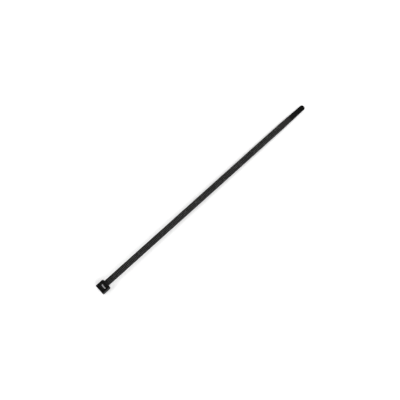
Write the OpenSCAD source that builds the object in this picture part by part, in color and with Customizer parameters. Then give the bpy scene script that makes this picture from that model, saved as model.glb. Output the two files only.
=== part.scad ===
// Nylon cable tie, moulded in one piece: a head with a slot and a sprung pawl, and a toothed strap.
// The tie lies as it comes to rest, with the head's outer face down and the toothed side up.
// X runs from the head to the tip, Z is up, and the origin is the slot's centre on the table.

/* [Strap] */
// Length of the whole tie, from the head's end wall to the tip
tie_length = 203; // [100:1:380]
// Width of the strap
strap_w = 4.8; // [4.4:0.1:8]
// Thickness of the strap over its side rails
strap_t = 1.2; // [1.1:0.05:2]
// Radius of the strap's long edges
strap_edge_r = 0.4; // [0.1:0.05:0.5]
// Depth of the strap's rails below the head's strap side
strap_sink = 0.1; // [0.05:0.05:0.4]

/* [Teeth] */
// Distance from one tooth to the next
tooth_pitch = 1.15; // [0.8:0.05:1.6]
// Height of a tooth, from its root to its crest
tooth_h = 0.42; // [0.2:0.02:0.6]
// Width of the row of teeth, between the side rails
teeth_w = 3.1; // [2:0.1:3.4]
// Depth of the crests below the side rails
tooth_sink = 0.06; // [0.02:0.02:0.2]
// Flat on the crest of a tooth
tooth_crest = 0.16; // [0.05:0.01:0.3]
// Run of the steep flank, which faces the head
tooth_flank = 0.18; // [0.05:0.01:0.3]
// Plain strap between the neck and the teeth
teeth_gap = 0.2; // [0.2:0.05:5]

/* [Tail] */
// Length of the plain tail beyond the last tooth
tail_l = 24.4; // [18:0.1:60]
// Length over which the tail narrows
taper_l = 24; // [10:0.5:50]
// Width of the tail at its tip, across the corners that round it
tip_w = 3.9; // [3:0.05:4.2]
// Corner radius of the tip in plan
tip_r = 1.65; // [0.5:0.05:1.9]
// Thickness of the tail at its tip
tip_t = 0.75; // [0.5:0.05:0.95]
// Length over which the tail gets thinner
thin_l = 14; // [5:0.5:40]

/* [Head] */
// Height of the head, from its outer face to the strap side
head_h = 5.5; // [4.5:0.1:9]
// Thickness of the end wall, which the strap bends over
end_wall = 3.5; // [2:0.1:6]
// Thickness of the wall that carries the strap
root_wall = 1.05; // [0.6:0.05:2]
// Thickness of each wall beside the slot
side_wall = 1.5; // [1:0.1:4]
// Corner radius of the end wall in plan
end_corner_r = 0.6; // [0.2:0.05:0.9]
// Corner radius beside the strap in plan
root_corner_r = 0.95; // [0.3:0.05:1]
// Radius of the edges round the outer face
outer_edge_r = 0.8; // [0.1:0.05:0.9]
// Radius of the edges round the strap side
strap_side_edge_r = 0.25; // [0.1:0.05:0.4]
// Length of the neck, over which the strap widens towards the head
neck_l = 0.5; // [0.3:0.05:1.5]
// Width that the neck gains on each side
neck_flare = 0.6; // [0.2:0.05:0.9]
// Depth of the web below the neck
neck_web = 0.5; // [0.2:0.05:1]

/* [Slot] */
// Clearance of the strap in the slot, in thickness
slot_clear_t = 0.15; // [0.1:0.05:0.4]
// Clearance of the strap in the slot, in width
slot_clear_w = 0.2; // [0.1:0.05:0.4]
// Radius of the end wall's edge at the strap's way in
lead_r = 0.9; // [0.3:0.05:1.2]

/* [Pawl] */
// Clearance on each side of the pawl between the strap's rails
pawl_clear = 0.1; // [0.05:0.05:0.3]
// Gap on each side of the pawl inside its pocket
pocket_gap = 0.2; // [0.1:0.05:0.4]
// Clearance between the pawl's crests and the roots of the strap's teeth
bite_clear = 0.08; // [0.02:0.02:0.15]
// How much further the pawl stands from the end wall at each higher tooth
pawl_lean = 0.14; // [0.04:0.02:0.16]
// Thickness of the pawl behind its teeth
pawl_t = 0.62; // [0.4:0.02:0.8]
// Room behind the pawl for it to spring back
pawl_swing = 0.8; // [0.5:0.02:1.2]
// Height of the pawl's free end above the outer face
pawl_lift = 0.75; // [0.4:0.05:1.5]
// Length of the slope at the top of the pawl, which leads the tip in
pawl_lead = 0.25; // [0.2:0.05:0.6]
// Thickness of the hinge that carries the pawl
hinge_t = 0.6; // [0.4:0.05:0.9]
// Depth of the hinge below the strap side
hinge_sink = 0.4; // [0.2:0.05:0.6]

/* [Hidden] */
nylon_black = [0.1, 0.1, 0.095];
// How far a cut runs past the surface that it opens
over = 1;
// How far a straight side stands inside the circle that rounds its end
seam = 0.01;
// Segments of a small radius
edge_fn = 48;

// Across the head: the slot, with half of its thickness to each side of the origin
slot_t = strap_t + slot_clear_t;
slot_w = strap_w + slot_clear_w;
slot_x = slot_t / 2;
slot_straight_w = slot_w - slot_t;
head_w = slot_w + 2 * side_wall;
end_x = -slot_x - end_wall;

// Along the head: the pawl bites into the slot, and its room and the strap's wall lie behind it
pawl_w = teeth_w - 2 * pawl_clear;
pocket_w = pawl_w + 2 * pocket_gap;
pawl_gap = strap_t - tooth_sink - tooth_h + bite_clear;
pawl_crest_x = -slot_x + pawl_gap;
pawl_back_x = pawl_crest_x + tooth_h + pawl_t;
pocket_x = pawl_back_x + pawl_swing;
root_x = pocket_x + root_wall;
wall_mid_x = pocket_x + root_wall / 2;
hinge_z = head_h - hinge_sink;
pocket_z = hinge_z - hinge_t;
pawl_teeth = floor((pocket_z - pawl_lift) / tooth_pitch);

// The strap slopes down from the middle of its wall, and its underside meets the table at the tip
rail_z = head_h - strap_sink;
tip_x = end_x + tie_length;
reach = norm([tip_x - wall_mid_x, rail_z]);
slope = atan2(rail_z, tip_x - wall_mid_x) - asin(strap_t / reach);

// Along the strap, from the middle of its wall
strap_l = sqrt(reach * reach - strap_t * strap_t);
neck_end = root_wall / 2 + neck_l;
teeth_start = neck_end + teeth_gap;
tooth_slope = tooth_pitch - tooth_flank - tooth_crest;
teeth_count = floor((strap_l - tail_l - teeth_start) / tooth_pitch);
teeth_end = teeth_start + teeth_count * tooth_pitch;
taper_start = strap_l - taper_l;
taper_angle = atan((strap_w - tip_w) / 2 / taper_l);
thin_start = strap_l - thin_l;
thin_slope = (strap_t - tip_t) / thin_l;

// The tip's corners fit within its width
nose_r = min(tip_r, tip_w / 2 - seam);

// One tooth of the strap: its root, the steep flank up to the crest, and the crest's far edge
function strap_tooth(i) =
    let (s = teeth_start + tooth_slope + i * tooth_pitch)
    [
        [s, -tooth_sink - tooth_h],
        [s + tooth_flank, -tooth_sink],
        [s + tooth_flank + tooth_crest, -tooth_sink]
    ];

// One tooth of the pawl, from its upper root down to the face that holds the strap
function pawl_tooth(i) =
    let (crest_x = pawl_crest_x + i * pawl_lean, z = pawl_lift + i * tooth_pitch)
    [
        [crest_x + pawl_lean + tooth_h, z + tooth_pitch],
        [crest_x, z + tooth_crest],
        [crest_x, z],
        [crest_x + tooth_h, z]
    ];

// Gives a shape of the side view, X across and Z up, its width along Y
module side_shape(width) {
    rotate([90, 0, 0])
        linear_extrude(height = width, center = true)
            children();
}

// A rectangle between two corners, with a radius of its own at each of its four
module rounded_rect(low, high, low_left_r, low_right_r, high_right_r, high_left_r) {
    polygon([
        [low.x + low_left_r, low.y],
        [high.x - low_right_r, low.y],
        [high.x, low.y + low_right_r],
        [high.x, high.y - high_right_r],
        [high.x - high_right_r, high.y],
        [low.x + high_left_r, high.y],
        [low.x, high.y - high_left_r],
        [low.x, low.y + low_left_r]
    ]);
    translate([low.x + low_left_r, low.y + low_left_r])
        circle(r = low_left_r, $fn = edge_fn);
    translate([high.x - low_right_r, low.y + low_right_r])
        circle(r = low_right_r, $fn = edge_fn);
    translate([high.x - high_right_r, high.y - high_right_r])
        circle(r = high_right_r, $fn = edge_fn);
    translate([low.x + high_left_r, high.y - high_left_r])
        circle(r = high_left_r, $fn = edge_fn);
}

// The head's outside: its plan, its side view and its end view together
module head_block() {
    intersection() {
        linear_extrude(height = head_h)
            rounded_rect([end_x, -head_w / 2], [root_x, head_w / 2],
                end_corner_r, root_corner_r, root_corner_r, end_corner_r);
        side_shape(head_w + 2 * over)
            rounded_rect([end_x, 0], [root_x, head_h],
                outer_edge_r, outer_edge_r, strap_side_edge_r, strap_side_edge_r);
        translate([end_x - over, 0, 0])
            rotate([90, 0, 90])
                linear_extrude(height = root_x - end_x + 2 * over)
                    rounded_rect([-head_w / 2, 0], [head_w / 2, head_h],
                        outer_edge_r, outer_edge_r, strap_side_edge_r, strap_side_edge_r);
    }
}

// The way through for the strap, with round ends like the strap's edges
module slot() {
    translate([0, 0, -over])
        linear_extrude(height = head_h + 2 * over) {
            square([slot_t, slot_straight_w], center = true);
            for (side = [-1, 1])
                translate([0, side * slot_straight_w / 2])
                    circle(d = slot_t, $fn = edge_fn);
        }
}

// Rounds the end wall's edge, which the strap bends over on its way in
module lead_in() {
    side_shape(slot_straight_w)
        difference() {
            translate([-slot_x - lead_r, head_h - lead_r])
                square([lead_r + slot_x, lead_r + over]);
            translate([-slot_x - lead_r, head_h - lead_r])
                circle(r = lead_r, $fn = edge_fn);
        }
}

// The room round the pawl, open on both sides, and the recess where its hinge joins the wall
module pawl_room() {
    translate([0, -pocket_w / 2, -over])
        cube([pocket_x, pocket_w, head_h + 2 * over]);
    translate([0, -pocket_w / 2, hinge_z])
        cube([wall_mid_x, pocket_w, hinge_sink + over]);
}

// The pawl grows out of the wall: the hinge, a lead-in slope, the teeth, the free end and the back
module pawl() {
    top_lean = pawl_teeth * pawl_lean;
    side_shape(pawl_w)
        polygon(concat(
            [
                [wall_mid_x, pocket_z],
                [wall_mid_x, hinge_z],
                [pawl_crest_x + top_lean + tooth_h + pawl_lead, hinge_z]
            ],
            [for (i = [pawl_teeth - 1:-1:0]) each pawl_tooth(i)],
            [[pawl_back_x, pawl_lift], [pawl_back_x + top_lean, pocket_z]]
        ));
}

// Puts a shape on the strap's slope: X along the strap, and Z = 0 at the top of its rails
module on_slope() {
    translate([wall_mid_x, 0, rail_z])
        rotate([0, slope, 0])
            children();
}

// Widens the strap towards the head, and holds it up from below
module neck() {
    half_w = strap_w / 2;
    translate([0, 0, -strap_t])
        linear_extrude(height = strap_t)
            polygon([
                [0, -half_w - neck_flare],
                [root_wall / 2, -half_w - neck_flare],
                [neck_end, -half_w],
                [neck_end, half_w],
                [root_wall / 2, half_w + neck_flare],
                [0, half_w + neck_flare]
            ]);
    side_shape(strap_w - 2 * strap_edge_r)
        polygon([
            [0, -strap_t - neck_web],
            [root_wall / 2, -strap_t - neck_web],
            [neck_end, -strap_t],
            [0, -strap_t]
        ]);
}

// The strap in plan: parallel, then narrowing, with a tip rounded at its corners
module strap_plan() {
    corner = [strap_l - nose_r, tip_w / 2 - nose_r];
    side = (nose_r - seam) * [sin(taper_angle), cos(taper_angle)];
    half = [
        [strap_l, corner.y],
        corner + side,
        [taper_start, strap_w / 2],
        [taper_start, strap_w / 2 + over],
        [-over, strap_w / 2 + over]
    ];
    polygon(concat(half, [for (i = [len(half) - 1:-1:0]) [half[i].x, -half[i].y]]));
    for (y = [-corner.y, corner.y])
        translate([corner.x, y])
            circle(r = nose_r, $fn = edge_fn);
}

// Everything above the teeth, between the rails
module tooth_gaps() {
    side_shape(teeth_w)
        polygon(concat(
            [[teeth_start, over], [teeth_start, -tooth_sink]],
            [for (i = [0:teeth_count - 1]) each strap_tooth(i)],
            [[teeth_end, over]]
        ));
}

// What comes off the tail's upper side, to thin it towards the tip
module tail_wedge() {
    side_shape(strap_w + 2 * over)
        polygon([
            [thin_start - over, thin_slope * over],
            [strap_l + over, -thin_slope * (thin_l + over)],
            [strap_l + over, over],
            [thin_start - over, over]
        ]);
}

// The strap's rounded section, cut to its plan, with the teeth and the thin tail
module strap() {
    difference() {
        intersection() {
            rotate([90, 0, 90])
                linear_extrude(height = strap_l + over)
                    rounded_rect([-strap_w / 2, -strap_t], [strap_w / 2, 0],
                        strap_edge_r, strap_edge_r, strap_edge_r, strap_edge_r);
            translate([0, 0, -strap_t - over])
                linear_extrude(height = strap_t + 2 * over)
                    strap_plan();
        }
        tooth_gaps();
        tail_wedge();
    }
}

module cable_tie() {
    color(nylon_black) {
        difference() {
            head_block();
            slot();
            lead_in();
            pawl_room();
        }
        pawl();
        on_slope() {
            neck();
            strap();
        }
    }
}

cable_tie();
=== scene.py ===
import math

import bmesh
import bpy
from mathutils import Matrix, Vector


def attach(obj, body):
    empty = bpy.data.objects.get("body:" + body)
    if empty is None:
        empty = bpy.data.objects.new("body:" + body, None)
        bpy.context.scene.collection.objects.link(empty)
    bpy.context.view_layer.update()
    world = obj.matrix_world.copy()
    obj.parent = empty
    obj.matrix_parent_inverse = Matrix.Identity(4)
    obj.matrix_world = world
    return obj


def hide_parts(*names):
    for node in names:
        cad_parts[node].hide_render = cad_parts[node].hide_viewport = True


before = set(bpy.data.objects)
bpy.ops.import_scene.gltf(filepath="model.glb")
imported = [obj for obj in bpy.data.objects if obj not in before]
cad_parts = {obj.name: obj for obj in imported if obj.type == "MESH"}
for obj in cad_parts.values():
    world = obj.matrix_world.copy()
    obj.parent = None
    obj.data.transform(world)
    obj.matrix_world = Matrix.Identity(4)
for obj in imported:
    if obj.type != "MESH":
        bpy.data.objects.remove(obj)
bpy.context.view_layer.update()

# The tie's sizes in millimetres, as the solid has them
MM = 0.001
TIE_LENGTH = 203.0
STRAP_W = 4.8
STRAP_T = 1.2
STRAP_EDGE_R = 0.4
STRAP_SINK = 0.1
TOOTH_PITCH = 1.15
TOOTH_H = 0.42
TEETH_W = 3.1
TOOTH_SINK = 0.06
TOOTH_CREST = 0.16
TOOTH_FLANK = 0.18
TEETH_GAP = 0.2
TAIL_L = 24.4
TAPER_L = 24.0
TIP_W = 3.9
TIP_T = 0.75
TIP_R = 1.65
THIN_L = 14.0
HEAD_H = 5.5
END_WALL = 3.5
ROOT_WALL = 1.05
SIDE_WALL = 1.5
END_CORNER_R = 0.6
ROOT_CORNER_R = 0.95
OUTER_EDGE_R = 0.8
STRAP_SIDE_EDGE_R = 0.25
NECK_L = 0.5
NECK_FLARE = 0.6
NECK_WEB = 0.5
SLOT_CLEAR_T = 0.15
SLOT_CLEAR_W = 0.2
LEAD_R = 0.9
PAWL_CLEAR = 0.1
POCKET_GAP = 0.2
BITE_CLEAR = 0.08
PAWL_LEAN = 0.14
PAWL_T = 0.62
PAWL_SWING = 0.8
PAWL_LIFT = 0.75
PAWL_LEAD = 0.25
HINGE_T = 0.6
HINGE_SINK = 0.4

# What follows from them across and along the head
SLOT_T = STRAP_T + SLOT_CLEAR_T
SLOT_W = STRAP_W + SLOT_CLEAR_W
SLOT_X = SLOT_T / 2
SLOT_STRAIGHT = SLOT_W - SLOT_T
HEAD_W = SLOT_W + 2 * SIDE_WALL
END_X = -SLOT_X - END_WALL
PAWL_W = TEETH_W - 2 * PAWL_CLEAR
POCKET_W = PAWL_W + 2 * POCKET_GAP
PAWL_CREST_X = -SLOT_X + STRAP_T - TOOTH_SINK - TOOTH_H + BITE_CLEAR
PAWL_BACK_X = PAWL_CREST_X + TOOTH_H + PAWL_T
POCKET_X = PAWL_BACK_X + PAWL_SWING
ROOT_X = POCKET_X + ROOT_WALL
WALL_MID_X = POCKET_X + ROOT_WALL / 2
HINGE_Z = HEAD_H - HINGE_SINK
POCKET_Z = HINGE_Z - HINGE_T
PAWL_TEETH = math.floor((POCKET_Z - PAWL_LIFT) / TOOTH_PITCH)

# And along the strap, which slopes down from the middle of its wall to the table
RAIL_Z = HEAD_H - STRAP_SINK
REACH = math.hypot(END_X + TIE_LENGTH - WALL_MID_X, RAIL_Z)
SLOPE = math.atan2(RAIL_Z, END_X + TIE_LENGTH - WALL_MID_X) - math.asin(STRAP_T / REACH)
STRAP_L = math.sqrt(REACH * REACH - STRAP_T * STRAP_T)
NECK_END = ROOT_WALL / 2 + NECK_L
TEETH_START = NECK_END + TEETH_GAP
TEETH_COUNT = math.floor((STRAP_L - TAIL_L - TEETH_START) / TOOTH_PITCH)
TEETH_END = TEETH_START + TEETH_COUNT * TOOTH_PITCH
ON_SLOPE = Matrix.Translation((WALL_MID_X, 0, RAIL_Z)) @ Matrix.Rotation(SLOPE, 4, "Y")

# Small radii and drafts of a moulding, and how far a tooth runs into the strap round it
SOFT_EDGE = 0.07
RIM_R = 0.08
WALL_DRAFT = 0.04
TIP_EDGE_R = 0.22
LEAST_FLAT = 0.02
TOOTH_ROUNDING = 0.12
TOOTH_FOOT = 0.1
TOOTH_INTO_RAIL = 0.1

# How finely curves are made, with the steps along the tail in millimetres and round the tip in degrees
EDGE_STEPS = 6
SLOT_STEPS = 16
LEAD_STEPS = 12
NECK_STEPS = 8
ROUNDING_STEPS = 4
TAIL_STEP = 0.5
TIP_STEP = 6

# Cutters run this far past the head, and places match within a hair
PAST = 1
NEAR = 0.01

# Faces that meet at more degrees than this have an edge: rounded on the head, sharp elsewhere
HEAD_SHARP = 38
STRAP_SHARP = 40
TEETH_SHARP = 28

# The nylon's colour and gloss, plain, worn, and on upright sides. The worn grey is also a painted highlight
# on the tooth crests
DEEP_BLACK = (0.003, 0.003, 0.0029, 1)
SOFT_BLACK = (0.0048, 0.0047, 0.0045, 1)
WEAR_AND_CREST_HIGHLIGHT_GREY = (0.04, 0.04, 0.04, 1)
NYLON_IOR = 1.53
FINEST_POLISH = 0.11
DULLEST_POLISH = 0.16
WORN_ROUGHNESS = 0.03
SIDE_ROUGHNESS = 0.85
UPRIGHT_FACING = 0.3
FLAT_FACING = 0.7

# Its patterns. Flow marks are drawn out along the strap
FLOW_SCALE = 900
FLOW_STRETCH = (0.05, 1, 1)
FLOW_STRENGTH = 0.3
FLOW_DEPTH = 0.00003
CLOUD_SCALE = 140
GRAIN_SCALE = 7000
GRAIN_STRENGTH = 0.25
GRAIN_DEPTH = 0.00001

# Its edge wear, and the painted highlight that lightens the tooth crests. Tooth height runs from 1 at the
# strap's floor to 2 at a crest, and is 0 off the teeth
ON_TOOTH = 0.5
CREST_HIGHLIGHT_FROM = 1.75
CREST = 2
PATCHINESS = 0.2
EDGE_WEAR = 0.5
EDGE_REACH = 0.00015
EDGE_TURNED = 0.75
EDGE_FLAT = 0.98

# The studio's sheets and the light on them, in metres
FLOOR_COLOUR = (0.9, 0.9, 0.9, 1)
FLOOR_REACH = 4
FLOOR_GLOW = 0.32
LIT_REACH = 0.4
WHITE_REACH = 1.6
CEILING_HEIGHT = 1.35
CEILING_REACH = 5.5
WORLD_LIGHT = 0.04
WHITE = (1, 1, 1, 1)

# The lamps: name, place, the point that each faces, size, brightness of its surface and colour
LAMPS = (
    ("overhead", (0.19, 0.107, 0.5), (0.19, 0.107, 0), (0.305, 0.14), 0.48, (1, 0.97, 0.92)),
    ("head_high", (-0.9, 0.25, 0.8), (0.1, 0, 0), (0.25, 0.8), 6.8, (1, 1, 1)),
    ("left_side", (0.1, 0.95, 0.8), (0.1, 0, 0), (1.6, 1.1), 1.25, (1, 1, 1)),
    ("right_side", (0.1, -0.95, 0.8), (0.1, 0, 0), (1.6, 1.1), 2.1, (1, 1, 1)),
)

# The camera, with its angles in degrees, its distances in metres and its lens in millimetres
CAMERA_AZIMUTH = -29.57
CAMERA_ELEVATION = 76.27
CAMERA_ROLL = -13.3
CAMERA_DISTANCE = 0.8177
CAMERA_TARGET = (0.0942, 0.00027, 0)
CAMERA_LENS = 100.34
CAMERA_SENSOR_W = 36
CAMERA_NEAREST = 0.01
CAMERA_FARTHEST = 20


def plain_mesh(name, bm):
    """The bmesh as a mesh of that name."""
    bm.normal_update()
    mesh = bpy.data.meshes.new(name)
    bm.to_mesh(mesh)
    bm.free()
    return mesh


def temporary(name, mesh):
    """An object for a mesh that is still being worked on."""
    piece = bpy.data.objects.new(name, mesh)
    bpy.context.scene.collection.objects.link(piece)
    return piece


def evaluated_mesh(piece):
    """The mesh that a piece's modifiers give. The piece itself is removed."""
    depsgraph = bpy.context.evaluated_depsgraph_get()
    mesh = bpy.data.meshes.new_from_object(piece.evaluated_get(depsgraph), depsgraph=depsgraph)
    bpy.data.objects.remove(piece)
    return mesh


def finish_piece(name, mesh, material):
    """Makes a mesh in millimetres a finished piece of the tie."""
    mesh.transform(Matrix.Scale(MM, 4))
    mesh.materials.clear()
    mesh.materials.append(material)
    piece = temporary(name, mesh)
    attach(piece, "root")
    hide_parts("cable_tie")
    return piece


def arc(centre, radius, start, end, steps):
    """Points on a circle, from one angle to another in degrees."""
    angles = [math.radians(start + (end - start) * i / steps) for i in range(steps + 1)]
    return [(centre[0] + radius * math.cos(a), centre[1] + radius * math.sin(a)) for a in angles]


def prism(name, outline, low, high, side_view):
    """A closed prism of an outline in plan from z low to high, or in side view from y low to high."""
    bm = bmesh.new()
    caps = []
    for level in (low, high):
        if side_view:
            caps.append([bm.verts.new((p[0], level, p[1])) for p in outline])
        else:
            caps.append([bm.verts.new((p[0], p[1], level)) for p in outline])
    bm.faces.new(caps[0])
    bm.faces.new(caps[1])
    for i in range(len(outline)):
        j = (i + 1) % len(outline)
        bm.faces.new((caps[0][i], caps[0][j], caps[1][j], caps[1][i]))
    bmesh.ops.recalc_face_normals(bm, faces=bm.faces)
    return temporary(name, plain_mesh(name, bm))


def round_edges(bm, chosen, radius, segments):
    """Rounds the edges that the test picks."""
    edges = [e for e in bm.edges if chosen(e.verts[0].co, e.verts[1].co)]
    bmesh.ops.bevel(bm, geom=edges, offset=radius, offset_type="OFFSET", segments=segments,
                    profile=0.5, affect="EDGES", clamp_overlap=False)


def head_block():
    """The head's outside, with its corners and edges rounded."""
    bm = bmesh.new()
    bmesh.ops.create_cube(bm, size=1)
    for v in bm.verts:
        v.co.x = END_X if v.co.x < 0 else ROOT_X
        v.co.y *= HEAD_W
        v.co.z = 0 if v.co.z < 0 else HEAD_H
    round_edges(bm, lambda a, b: a.z != b.z and a.x < 0, END_CORNER_R, 8)
    round_edges(bm, lambda a, b: a.z != b.z and a.x > 0 and b.x > ROOT_X - NEAR, ROOT_CORNER_R, 10)
    round_edges(bm, lambda a, b: min(a.z, b.z) > HEAD_H - NEAR, STRAP_SIDE_EDGE_R, 5)
    round_edges(bm, lambda a, b: max(a.z, b.z) < NEAR, OUTER_EDGE_R, 6)
    return temporary("head", plain_mesh("head", bm))


def pawl_outline():
    """The pawl in side view: hinge, lead-in slope, teeth, free end and back."""
    top_lean = PAWL_TEETH * PAWL_LEAN
    points = [
        (WALL_MID_X, POCKET_Z),
        (WALL_MID_X, HINGE_Z),
        (PAWL_CREST_X + top_lean + TOOTH_H + PAWL_LEAD, HINGE_Z),
    ]
    for i in reversed(range(PAWL_TEETH)):
        crest = PAWL_CREST_X + i * PAWL_LEAN
        z = PAWL_LIFT + i * TOOTH_PITCH
        points.append((crest + PAWL_LEAN + TOOTH_H, z + TOOTH_PITCH))
        points.append((crest, z + TOOTH_CREST))
        points.append((crest, z))
        points.append((crest + TOOTH_H, z))
    points.append((PAWL_BACK_X, PAWL_LIFT))
    points.append((PAWL_BACK_X + top_lean, POCKET_Z))
    return points


def head_mesh():
    """The head with its slot, lead-in, pawl room and pawl, and soft edges all over."""
    head = head_block()
    far = HEAD_H + PAST
    half = SLOT_STRAIGHT / 2
    slot = arc((0, half), SLOT_X, 0, 180, SLOT_STEPS) + arc((0, -half), SLOT_X, 180, 360, SLOT_STEPS)
    lead_centre = (-SLOT_X - LEAD_R, HEAD_H - LEAD_R)
    lead_in = arc(lead_centre, LEAD_R, 0, 90, LEAD_STEPS)
    lead_in += [(-SLOT_X - LEAD_R, far), (0, far), (0, HEAD_H - LEAD_R)]
    room = [
        (0, -PAST),
        (POCKET_X, -PAST),
        (POCKET_X, HINGE_Z),
        (WALL_MID_X, HINGE_Z),
        (WALL_MID_X, far),
        (0, far),
    ]
    steps = [
        (prism("slot_cut", slot, -PAST, far, False), "DIFFERENCE"),
        (prism("lead_in_cut", lead_in, -half, half, True), "DIFFERENCE"),
        (prism("room_cut", room, -POCKET_W / 2, POCKET_W / 2, True), "DIFFERENCE"),
        (prism("pawl", pawl_outline(), -PAWL_W / 2, PAWL_W / 2, True), "UNION"),
    ]
    for tool, operation in steps:
        step = head.modifiers.new(tool.name, "BOOLEAN")
        step.operation = operation
        step.solver = "EXACT"
        step.object = tool
    soften(head)
    mesh = evaluated_mesh(head)
    for tool, _ in steps:
        bpy.data.objects.remove(tool)
    return mesh


def soften(piece):
    """Gives sharp edges their small radius, and shades flat faces flat and round ones round."""
    bevel = piece.modifiers.new("soft_edges", "BEVEL")
    bevel.width = SOFT_EDGE
    bevel.segments = 2
    bevel.limit_method = "ANGLE"
    bevel.angle_limit = math.radians(HEAD_SHARP)
    bevel.use_clamp_overlap = True
    piece.modifiers.new("normals", "WEIGHTED_NORMAL").keep_sharp = True
    piece.data.shade_smooth()


def strap_section(half_w, top, bottom, edge_r, depth):
    """The strap's section as points (y, height): rounded all round, with a channel that deep on top."""
    points = arc((half_w - edge_r, bottom + edge_r), edge_r, -90, 0, EDGE_STEPS)
    points += arc((half_w - edge_r, top - edge_r), edge_r, 0, 90, EDGE_STEPS)
    rim = RIM_R if depth > 0 else 0
    side = [
        (TEETH_W / 2 + RIM_R, top),
        (TEETH_W / 2 + RIM_R * 0.3, top - rim * 0.3),
        (TEETH_W / 2, top - rim),
        (TEETH_W / 2 - WALL_DRAFT, top - depth),
    ]
    fit = min(1, (half_w - edge_r) / (TEETH_W / 2 + RIM_R))
    points += [(y * fit, h) for y, h in side]
    points += [(-y * fit, h) for y, h in reversed(side)]
    points += arc((edge_r - half_w, top - edge_r), edge_r, 90, 180, EDGE_STEPS)
    points += arc((edge_r - half_w, bottom + edge_r), edge_r, 180, 270, EDGE_STEPS)
    return points


def strap_stations():
    """(place, half width, top, bottom, edge radius, channel depth) from the head to the tip."""
    half_w = STRAP_W / 2
    depth = TOOTH_SINK + TOOTH_H
    stations = [(0, half_w + NECK_FLARE, 0, -STRAP_T - NECK_WEB, STRAP_EDGE_R, 0)]
    for i in range(NECK_STEPS + 1):
        k = i / NECK_STEPS
        blend = 1 - math.sin(k * math.pi / 2)
        s = ROOT_WALL / 2 + NECK_L * (1 - math.cos(k * math.pi / 2))
        stations.append((s, half_w + NECK_FLARE * blend, 0, -STRAP_T - NECK_WEB * blend, STRAP_EDGE_R, 0))
    stations.append((TEETH_START, half_w, 0, -STRAP_T, STRAP_EDGE_R, 0))
    stations.append((TEETH_START + WALL_DRAFT, half_w, 0, -STRAP_T, STRAP_EDGE_R, depth))
    stations.append((TEETH_END - WALL_DRAFT, half_w, 0, -STRAP_T, STRAP_EDGE_R, depth))
    stations.append((TEETH_END, half_w, 0, -STRAP_T, STRAP_EDGE_R, 0))
    return stations + tail_stations()


def tail_stations():
    """The tail narrows, gets thinner and ends in a tip that is rounded in plan and at its edges."""
    corner_s = STRAP_L - TIP_R
    steps = int((TAPER_L - TIP_R) / TAIL_STEP)
    places = [STRAP_L - TAPER_L + i * TAIL_STEP for i in range(steps + 1)]
    places += [corner_s + TIP_R * math.sin(math.radians(a)) for a in range(0, 91, TIP_STEP)]
    stations = []
    for s in places:
        narrow = (s - (STRAP_L - TAPER_L)) / TAPER_L
        half_w = STRAP_W / 2 + (TIP_W - STRAP_W) / 2 * min(narrow, 1)
        if s > corner_s:
            half_w += math.sqrt(max(TIP_R ** 2 - (s - corner_s) ** 2, 0)) - TIP_R
        thin = max(s - (STRAP_L - THIN_L), 0) / THIN_L
        edge_r = STRAP_EDGE_R + (TIP_EDGE_R - STRAP_EDGE_R) * narrow
        into_edge = max(s - (STRAP_L - TIP_EDGE_R), 0)
        drop = TIP_EDGE_R - math.sqrt(max(TIP_EDGE_R ** 2 - into_edge ** 2, 0))
        top = -(STRAP_T - TIP_T) * thin - drop
        bottom = -STRAP_T + drop
        edge_r = min(edge_r, (top - bottom) / 2 - LEAST_FLAT, half_w)
        stations.append((s, half_w, top, bottom, edge_r, 0))
    return stations


def strap_mesh():
    """Carries the strap's section along its stations, closes both ends and lays it on the slope."""
    bm = bmesh.new()
    rings = []
    for s, half_w, top, bottom, edge_r, depth in strap_stations():
        section = strap_section(half_w, top, bottom, edge_r, depth)
        rings.append([bm.verts.new((s, y, h)) for y, h in section])
    for a, b in zip(rings, rings[1:]):
        for i in range(len(a)):
            j = (i + 1) % len(a)
            bm.faces.new((a[i], b[i], b[j], a[j]))
    bm.faces.new(rings[0])
    bm.faces.new(rings[-1])
    bmesh.ops.recalc_face_normals(bm, faces=bm.faces)
    strap = temporary("strap", plain_mesh("strap", bm))
    strap.data.shade_smooth()
    strap.data.set_sharp_from_angle(angle=math.radians(STRAP_SHARP))
    strap.modifiers.new("normals", "WEIGHTED_NORMAL").keep_sharp = True
    mesh = evaluated_mesh(strap)
    mesh.transform(ON_SLOPE)
    return mesh


def link(tree, source, target):
    """Joins two sockets."""
    tree.links.new(source, target)


def add(tree, kind, **settings):
    """A new node with its settings."""
    node = tree.nodes.new(kind)
    for name, value in settings.items():
        setattr(node, name, value)
    return node


def combine(tree, x, z):
    """A point in the profile's plane from two sockets."""
    node = add(tree, "ShaderNodeCombineXYZ")
    link(tree, x, node.inputs["X"])
    link(tree, z, node.inputs["Y"])
    return node.outputs["Vector"]


def maths(tree, operation, a, b):
    """One sum of two sockets or numbers."""
    node = add(tree, "ShaderNodeMath", operation=operation)
    for value, socket in ((a, node.inputs[0]), (b, node.inputs[1])):
        if isinstance(value, (int, float)):
            socket.default_value = value
        else:
            link(tree, value, socket)
    return node.outputs["Value"]


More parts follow.
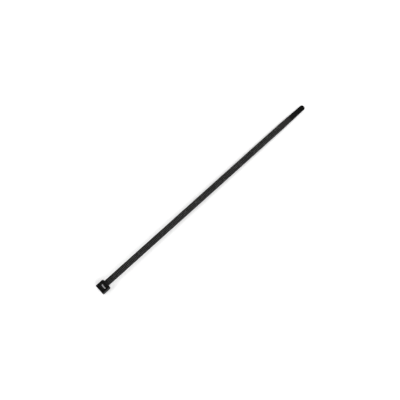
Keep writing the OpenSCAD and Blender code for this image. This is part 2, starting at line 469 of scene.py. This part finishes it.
def tooth_row_tree(material):
    """Geometry nodes for a row of saw teeth: one tooth is swept across the strap and repeated along it."""
    tree = bpy.data.node_groups.new("tooth_row", "GeometryNodeTree")
    sizes = ("Pitch", "Height", "Flank", "Crest", "Rounding", "Width", "Sunk")
    tree.interface.new_socket("Geometry", in_out="INPUT", socket_type="NodeSocketGeometry")
    for name in sizes:
        tree.interface.new_socket(name, in_out="INPUT", socket_type="NodeSocketFloat")
    tree.interface.new_socket("Count", in_out="INPUT", socket_type="NodeSocketInt")
    tree.interface.new_socket("Geometry", in_out="OUTPUT", socket_type="NodeSocketGeometry")
    given = add(tree, "NodeGroupInput").outputs

    # The flanks run on below the strap's floor, so that no gap shows where a tooth stands on it
    below = maths(tree, "MULTIPLY", given["Sunk"], -1)
    share = maths(tree, "DIVIDE", given["Sunk"], given["Height"])
    crest_end = maths(tree, "ADD", given["Flank"], given["Crest"])
    slope_run = maths(tree, "SUBTRACT", given["Pitch"], crest_end)
    foot = maths(tree, "MULTIPLY", maths(tree, "MULTIPLY", given["Flank"], share), -1)
    heel = maths(tree, "ADD", given["Pitch"], maths(tree, "MULTIPLY", slope_run, share))
    outline = add(tree, "GeometryNodeCurvePrimitiveQuadrilateral", mode="POINTS")
    corners = ((foot, below), (given["Flank"], given["Height"]), (crest_end, given["Height"]), (heel, below))
    for i, (x, z) in enumerate(corners):
        link(tree, combine(tree, x, z), outline.inputs[f"Point {i + 1}"])
    rounded = add(tree, "GeometryNodeFilletCurve", mode="POLY")
    link(tree, outline.outputs["Curve"], rounded.inputs["Curve"])
    link(tree, given["Rounding"], rounded.inputs["Radius"])
    rounded.inputs["Limit Radius"].default_value = True
    rounded.inputs["Count"].default_value = ROUNDING_STEPS

    # Swept upright, then laid across the strap
    path = add(tree, "GeometryNodeCurvePrimitiveLine")
    for name, share_of_width in (("Start", -0.5), ("End", 0.5)):
        end = add(tree, "ShaderNodeCombineXYZ")
        link(tree, maths(tree, "MULTIPLY", given["Width"], share_of_width), end.inputs["Z"])
        link(tree, end.outputs["Vector"], path.inputs[name])
    swept = add(tree, "GeometryNodeCurveToMesh")
    link(tree, path.outputs["Curve"], swept.inputs["Curve"])
    link(tree, rounded.outputs["Curve"], swept.inputs["Profile Curve"])
    swept.inputs["Fill Caps"].default_value = True
    laid = add(tree, "GeometryNodeTransform")
    link(tree, swept.outputs["Mesh"], laid.inputs["Geometry"])
    laid.inputs["Rotation"].default_value = (math.radians(90), 0, 0)

    row = add(tree, "GeometryNodeMeshLine")
    step = add(tree, "ShaderNodeCombineXYZ")
    link(tree, given["Pitch"], step.inputs["X"])
    link(tree, step.outputs["Vector"], row.inputs["Offset"])
    link(tree, given["Count"], row.inputs["Count"])
    teeth = add(tree, "GeometryNodeInstanceOnPoints")
    link(tree, row.outputs["Mesh"], teeth.inputs["Points"])
    link(tree, laid.outputs["Geometry"], teeth.inputs["Instance"])
    real = add(tree, "GeometryNodeRealizeInstances")
    link(tree, teeth.outputs["Instances"], real.inputs["Geometry"])
    painted = add(tree, "GeometryNodeSetMaterial")
    link(tree, real.outputs["Geometry"], painted.inputs["Geometry"])
    painted.inputs["Material"].default_value = material
    link(tree, painted.outputs["Geometry"], add(tree, "NodeGroupOutput").inputs["Geometry"])
    return tree


def teeth_mesh(material):
    """The row of teeth between the rails. Its first slope starts inside the plain strap."""
    sizes = {
        "Pitch": TOOTH_PITCH,
        "Height": TOOTH_H,
        "Flank": TOOTH_FLANK,
        "Crest": TOOTH_CREST,
        "Rounding": TOOTH_ROUNDING,
        "Width": TEETH_W + 2 * TOOTH_INTO_RAIL,
        "Sunk": TOOTH_FOOT,
        "Count": TEETH_COUNT + 1,
    }
    row = temporary("strap_teeth", bpy.data.meshes.new("strap_teeth"))
    modifier = row.modifiers.new("tooth_row", "NODES")
    modifier.node_group = tooth_row_tree(material)
    for item in modifier.node_group.interface.items_tree:
        if item.in_out == "INPUT" and item.name in sizes:
            modifier[item.identifier] = sizes[item.name]
    mesh = evaluated_mesh(row)
    height = mesh.attributes.new("tooth_height", "FLOAT", "POINT")
    height.data.foreach_set("value", [1 + v.co.z / TOOTH_H for v in mesh.vertices])
    start = TEETH_START - TOOTH_FLANK - TOOTH_CREST
    mesh.transform(ON_SLOPE @ Matrix.Translation((start, 0, -TOOTH_SINK - TOOTH_H)))
    mesh.shade_smooth()
    mesh.set_sharp_from_angle(angle=math.radians(TEETH_SHARP))
    return mesh


def noise(tree, coordinates, scale, detail, stretch=(1, 1, 1)):
    """A noise pattern on the piece's own coordinates, scaled along each axis."""
    mapping = add(tree, "ShaderNodeMapping")
    mapping.inputs["Scale"].default_value = stretch
    link(tree, coordinates, mapping.inputs["Vector"])
    pattern = add(tree, "ShaderNodeTexNoise")
    pattern.inputs["Scale"].default_value = scale
    pattern.inputs["Detail"].default_value = detail
    link(tree, mapping.outputs["Vector"], pattern.inputs["Vector"])
    return pattern.outputs["Fac"]


def ranged(tree, value, low, high, from_low=0.3, from_high=0.7):
    """Maps a pattern's middle range to the values wanted."""
    node = add(tree, "ShaderNodeMapRange")
    node.inputs["From Min"].default_value = from_low
    node.inputs["From Max"].default_value = from_high
    node.inputs["To Min"].default_value = low
    node.inputs["To Max"].default_value = high
    link(tree, value, node.inputs["Value"])
    return node.outputs["Result"]


def edge_wear_and_crest_highlight(tree, cloud):
    """How scuffed or painted lighter a place is, from 0 to 1: tooth crests most, as a painted highlight, and
    the other pieces along their edges, as real wear.
    """
    height = add(tree, "ShaderNodeAttribute", attribute_name="tooth_height").outputs["Fac"]
    patchy = maths(tree, "MULTIPLY", maths(tree, "SUBTRACT", cloud, 0.5), PATCHINESS)
    # Tooth crests are painted lighter towards their tops: a painted highlight, not wear
    crest = ranged(tree, maths(tree, "ADD", height, patchy), 0, 1, CREST_HIGHLIGHT_FROM, CREST)
    rounded = add(tree, "ShaderNodeBevel", samples=4)
    rounded.inputs["Radius"].default_value = EDGE_REACH
    turned = add(tree, "ShaderNodeVectorMath", operation="DOT_PRODUCT")
    link(tree, rounded.outputs["Normal"], turned.inputs[0])
    link(tree, add(tree, "ShaderNodeNewGeometry").outputs["Normal"], turned.inputs[1])
    seen_edge = maths(tree, "ADD", turned.outputs["Value"], patchy)
    edge = ranged(tree, seen_edge, EDGE_WEAR, 0, EDGE_TURNED, EDGE_FLAT)
    beside_teeth = maths(tree, "LESS_THAN", height, ON_TOOTH)
    return maths(tree, "MAXIMUM", crest, maths(tree, "MULTIPLY", edge, beside_teeth))


def black_nylon():
    """Moulded black nylon: glossy flats with flow marks, matt upright sides, worn edges, tooth crests
    painted lighter as a painted highlight, and a fine grain.
    """
    material = bpy.data.materials.new("black_nylon")
    material.use_nodes = True
    tree = material.node_tree
    surface = tree.nodes["Principled BSDF"]
    surface.inputs["IOR"].default_value = NYLON_IOR
    coordinates = add(tree, "ShaderNodeTexCoord").outputs
    place = coordinates["Object"]

    flow = noise(tree, place, FLOW_SCALE, 3, FLOW_STRETCH)
    cloud = noise(tree, place, CLOUD_SCALE, 4)
    both = maths(tree, "ADD", maths(tree, "MULTIPLY", flow, 0.5), maths(tree, "MULTIPLY", cloud, 0.5))
    polish = ranged(tree, both, FINEST_POLISH, DULLEST_POLISH)
    facing = add(tree, "ShaderNodeSeparateXYZ")
    link(tree, coordinates["Normal"], facing.inputs["Vector"])
    level = maths(tree, "ABSOLUTE", facing.outputs["Z"], 0)
    upright = ranged(tree, level, SIDE_ROUGHNESS, 0, UPRIGHT_FACING, FLAT_FACING)
    wear_and_crest_highlight = edge_wear_and_crest_highlight(tree, cloud)
    scratched = maths(tree, "ADD", polish, maths(tree, "MULTIPLY", wear_and_crest_highlight, WORN_ROUGHNESS))
    link(tree, maths(tree, "ADD", scratched, upright), surface.inputs["Roughness"])

    tint = add(tree, "ShaderNodeMix", data_type="RGBA")
    tint.inputs["A"].default_value = DEEP_BLACK
    tint.inputs["B"].default_value = SOFT_BLACK
    link(tree, ranged(tree, cloud, 0, 1), tint.inputs["Factor"])
    # The pale grey mixes in on worn edges, and as a painted highlight on the tooth crests
    colour = add(tree, "ShaderNodeMix", data_type="RGBA")
    link(tree, tint.outputs["Result"], colour.inputs["A"])
    colour.inputs["B"].default_value = WEAR_AND_CREST_HIGHLIGHT_GREY
    link(tree, wear_and_crest_highlight, colour.inputs["Factor"])
    link(tree, colour.outputs["Result"], surface.inputs["Base Color"])

    grain = add(tree, "ShaderNodeBump")
    grain.inputs["Strength"].default_value = GRAIN_STRENGTH
    grain.inputs["Distance"].default_value = GRAIN_DEPTH
    link(tree, noise(tree, place, GRAIN_SCALE, 2), grain.inputs["Height"])
    ripple = add(tree, "ShaderNodeBump")
    ripple.inputs["Strength"].default_value = FLOW_STRENGTH
    ripple.inputs["Distance"].default_value = FLOW_DEPTH
    link(tree, flow, ripple.inputs["Height"])
    link(tree, grain.outputs["Normal"], ripple.inputs["Normal"])
    link(tree, ripple.outputs["Normal"], surface.inputs["Normal"])
    return material


def seen_directly(tree):
    """1 for camera, glossy and transmission rays."""
    rays = add(tree, "ShaderNodeLightPath").outputs
    shiny = maths(tree, "MAXIMUM", rays["Is Glossy Ray"], rays["Is Transmission Ray"])
    return maths(tree, "MAXIMUM", rays["Is Camera Ray"], shiny)


def floor_material():
    """A pale floor that keeps the tie's shadow. Its own glow, a little here, is full far from the lamps."""
    material = bpy.data.materials.new("pale_floor")
    material.use_nodes = True
    tree = material.node_tree
    tree.nodes.clear()
    lit = add(tree, "ShaderNodeBsdfDiffuse")
    lit.inputs["Color"].default_value = FLOOR_COLOUR
    glow = add(tree, "ShaderNodeEmission")
    glow.inputs["Color"].default_value = WHITE
    distance = add(tree, "ShaderNodeVectorMath", operation="LENGTH")
    link(tree, add(tree, "ShaderNodeTexCoord").outputs["Object"], distance.inputs[0])
    growing = ranged(tree, distance.outputs["Value"], FLOOR_GLOW, 1, LIT_REACH, WHITE_REACH)
    link(tree, maths(tree, "MULTIPLY", seen_directly(tree), growing), glow.inputs["Strength"])
    both = add(tree, "ShaderNodeAddShader")
    link(tree, lit.outputs["BSDF"], both.inputs[0])
    link(tree, glow.outputs["Emission"], both.inputs[1])
    link(tree, both.outputs["Shader"], add(tree, "ShaderNodeOutputMaterial").inputs["Surface"])
    return material


def ceiling_material():
    """A dark studio ceiling, so that the tie's flat tops mirror only the lamps."""
    material = bpy.data.materials.new("dark_ceiling")
    material.use_nodes = True
    tree = material.node_tree
    tree.nodes.clear()
    dim = add(tree, "ShaderNodeEmission")
    dim.inputs["Color"].default_value = WHITE
    dim.inputs["Strength"].default_value = WORLD_LIGHT
    link(tree, dim.outputs["Emission"], add(tree, "ShaderNodeOutputMaterial").inputs["Surface"])
    return material


def make_sheet(name, height, reach, material):
    """A large level sheet of the studio."""
    bm = bmesh.new()
    bmesh.ops.create_grid(bm, x_segments=1, y_segments=1, size=reach)
    bmesh.ops.translate(bm, vec=(0, 0, height), verts=bm.verts)
    sheet = temporary(name, plain_mesh(name, bm))
    sheet.data.materials.append(material)


def make_world():
    """White where it is seen, itself or in a reflection, and dim as light."""
    world = bpy.data.worlds.new("studio")
    bpy.context.scene.world = world
    world.use_nodes = True
    tree = world.node_tree
    background = tree.nodes["Background"]
    background.inputs["Color"].default_value = WHITE
    link(tree, ranged(tree, seen_directly(tree), WORLD_LIGHT, 1, 0, 1), background.inputs["Strength"])


def softbox(name, place, aim, size, radiance, colour):
    """An area light that faces a point, with the brightness of its surface as radiance."""
    data = bpy.data.lights.new(name, "AREA")
    data.shape = "RECTANGLE"
    data.size = size[0]
    data.size_y = size[1]
    data.energy = 4 * radiance * size[0] * size[1]
    data.color = colour
    lamp = bpy.data.objects.new(name, data)
    lamp.location = place
    lamp.rotation_euler = (Vector(aim) - Vector(place)).to_track_quat("-Z", "Y").to_euler()
    bpy.context.scene.collection.objects.link(lamp)


def make_camera():
    """The camera stands where the photograph was taken from."""
    azimuth = math.radians(CAMERA_AZIMUTH)
    elevation = math.radians(CAMERA_ELEVATION)
    back = Vector((
        math.sin(azimuth) * math.cos(elevation),
        -math.cos(azimuth) * math.cos(elevation),
        math.sin(elevation),
    ))
    data = bpy.data.cameras.new("camera")
    data.sensor_width = CAMERA_SENSOR_W
    data.lens = CAMERA_LENS
    data.clip_start = CAMERA_NEAREST
    data.clip_end = CAMERA_FARTHEST
    camera = bpy.data.objects.new("camera", data)
    camera.location = Vector(CAMERA_TARGET) + back * CAMERA_DISTANCE
    upright = (-back).to_track_quat("-Z", "Y").to_matrix()
    camera.rotation_euler = (upright @ Matrix.Rotation(math.radians(CAMERA_ROLL), 3, "Z")).to_euler()
    bpy.context.scene.collection.objects.link(camera)
    bpy.context.scene.camera = camera


nylon = black_nylon()
finish_piece("head", head_mesh(), nylon)
finish_piece("strap", strap_mesh(), nylon)
finish_piece("strap_teeth", teeth_mesh(nylon), nylon)

make_sheet("floor", 0, FLOOR_REACH, floor_material())
make_sheet("ceiling", CEILING_HEIGHT, CEILING_REACH, ceiling_material())
make_world()
for lamp in LAMPS:
    softbox(*lamp)
make_camera()

bpy.context.scene.view_settings.view_transform = "Standard"
